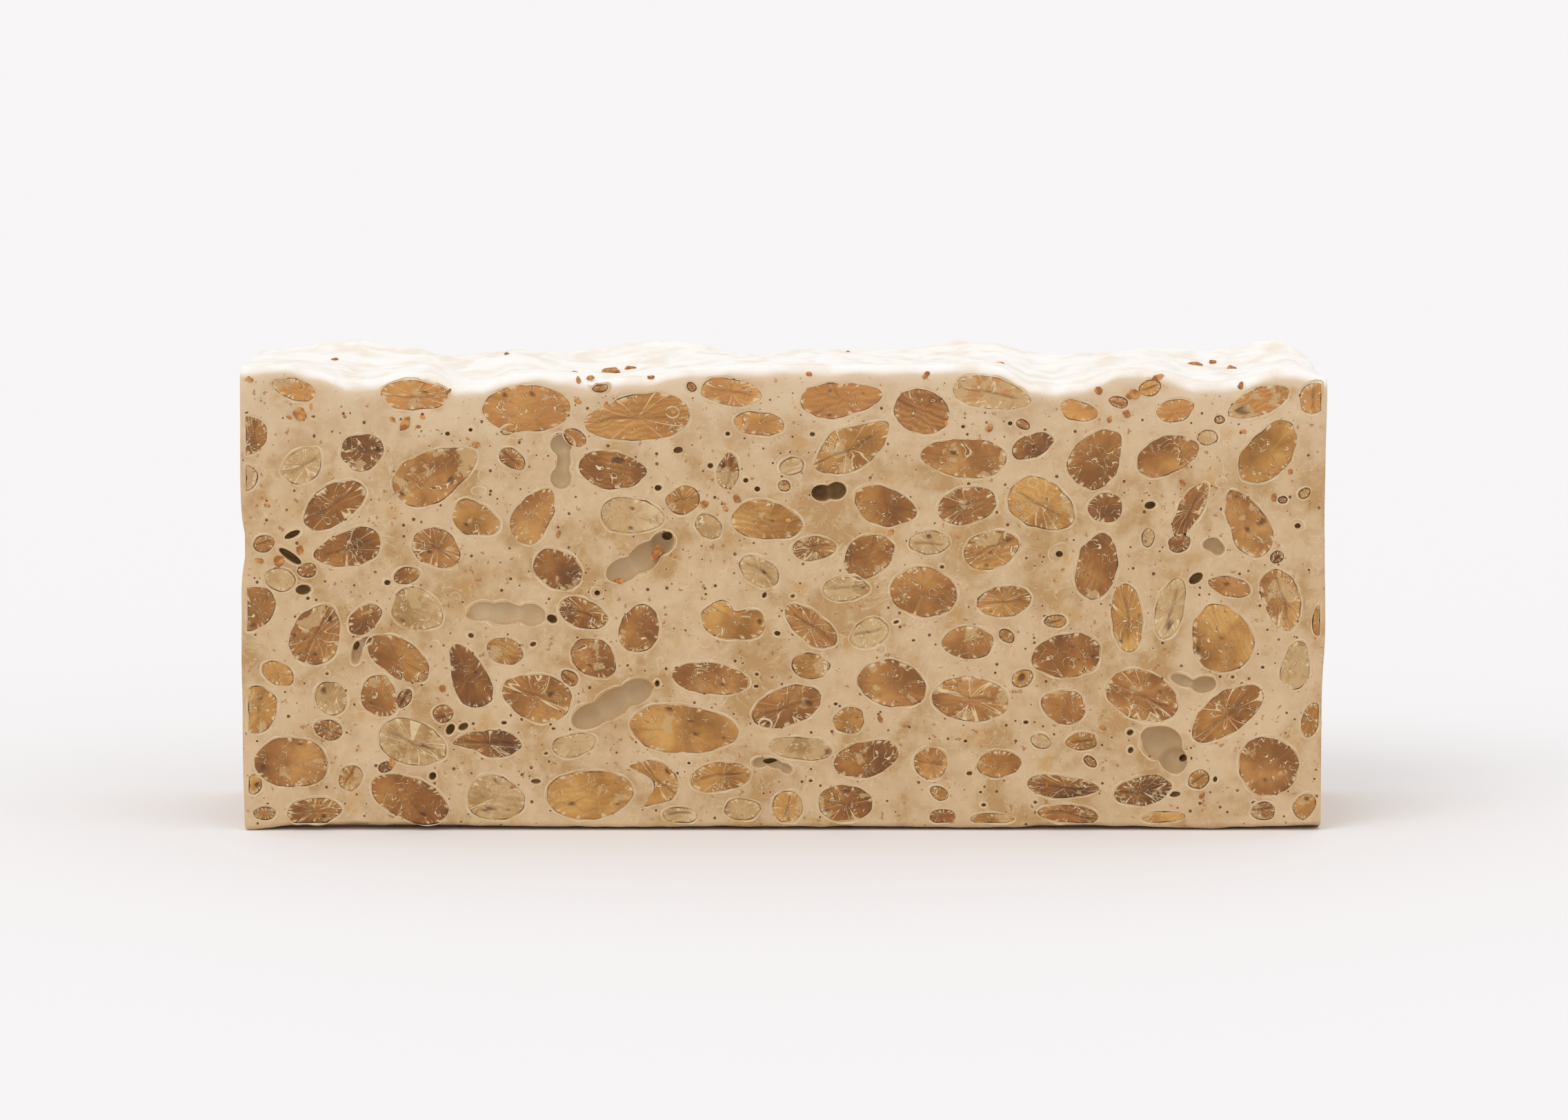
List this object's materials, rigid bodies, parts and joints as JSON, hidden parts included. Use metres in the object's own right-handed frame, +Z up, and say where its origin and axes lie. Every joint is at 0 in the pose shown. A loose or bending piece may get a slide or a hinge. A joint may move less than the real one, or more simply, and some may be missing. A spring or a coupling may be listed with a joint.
{
  "type": "nougat block",
  "caption": "Rectangular bar of pale nougat sawn from a slab, with roasted nut kernels cut flush in its front and the uneven skin on top.",
  "frame": {"origin": "middle of the bounding box at the resting face", "axes": "+X along the bar, +Z up to the uncut skin, and the sawn front with the kernels looks along -Y"},
  "size_m": [0.2, 0.0499, 0.0865],
  "materials": {
    "nougat": "matte",
    "kernel_dark": "satin",
    "kernel_brown": "satin",
    "kernel_tan": "satin",
    "kernel_golden": "satin",
    "kernel_pale": "satin"
  },
  "bodies": {
    "root": {"nougat": "nougat", "kernel_01": "kernel_dark", "kernel_02": "kernel_brown", "kernel_03": "kernel_tan", "kernel_04": "kernel_brown", "kernel_05": "kernel_tan", "kernel_06": "kernel_golden", "kernel_07": "kernel_golden", "kernel_08": "kernel_golden", "kernel_09": "kernel_brown", "kernel_10": "kernel_tan", "kernel_11": "kernel_pale", "kernel_12": "kernel_dark", "kernel_13": "kernel_golden", "kernel_14": "kernel_brown", "kernel_15": "kernel_dark", "kernel_16": "kernel_pale", "kernel_17": "kernel_golden", "kernel_18": "kernel_tan", "kernel_19": "kernel_tan", "kernel_20": "kernel_tan", "kernel_21": "kernel_golden", "kernel_22": "kernel_brown", "kernel_23": "kernel_tan", "kernel_24": "kernel_golden", "kernel_25": "kernel_golden", "kernel_26": "kernel_brown", "kernel_27": "kernel_tan", "kernel_28": "kernel_brown", "kernel_29": "kernel_tan", "kernel_30": "kernel_tan", "kernel_31": "kernel_brown", "kernel_32": "kernel_dark", "kernel_33": "kernel_tan", "kernel_34": "kernel_tan", "kernel_35": "kernel_pale", "kernel_36": "kernel_brown", "kernel_37": "kernel_dark", "kernel_38": "kernel_golden", "kernel_39": "kernel_golden", "kernel_40": "kernel_brown", "kernel_41": "kernel_brown", "kernel_42": "kernel_tan", "kernel_43": "kernel_golden", "kernel_44": "kernel_tan", "kernel_45": "kernel_golden", "kernel_46": "kernel_tan", "kernel_47": "kernel_tan", "kernel_48": "kernel_tan", "kernel_49": "kernel_brown", "kernel_50": "kernel_golden", "kernel_51": "kernel_golden", "kernel_52": "kernel_brown", "kernel_53": "kernel_tan", "kernel_54": "kernel_dark", "kernel_55": "kernel_tan", "kernel_56": "kernel_golden", "kernel_57": "kernel_tan", "kernel_58": "kernel_brown", "kernel_59": "kernel_tan"}
  },
  "joints": []
}
